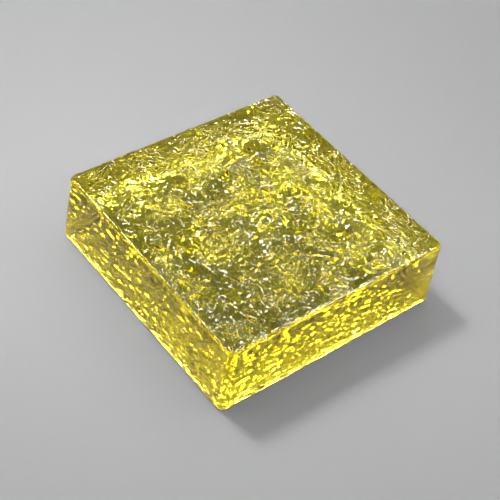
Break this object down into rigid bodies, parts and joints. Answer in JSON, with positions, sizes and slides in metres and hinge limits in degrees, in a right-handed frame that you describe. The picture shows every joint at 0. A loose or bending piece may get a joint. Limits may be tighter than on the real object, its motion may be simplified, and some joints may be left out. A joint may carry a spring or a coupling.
{
  "type": "glass block",
  "caption": "Solid square cast-glass building block in lemon yellow, flat base and drafted sides, with a deeply rippled open face.",
  "frame": {"origin": "centre of the flat base", "axes": "+Z from the base to the rippled face, +X and +Y square to the sides; the four sides lean in by 1.7 degrees towards +Z"},
  "size_m": [0.1998, 0.1998, 0.06],
  "materials": {
    "yellow_glass": "clear lemon-yellow glass, tinted through its mass, fire-polished, rippled on the open face"
  },
  "bodies": {
    "root": {"glass_block": "yellow_glass"}
  },
  "joints": []
}
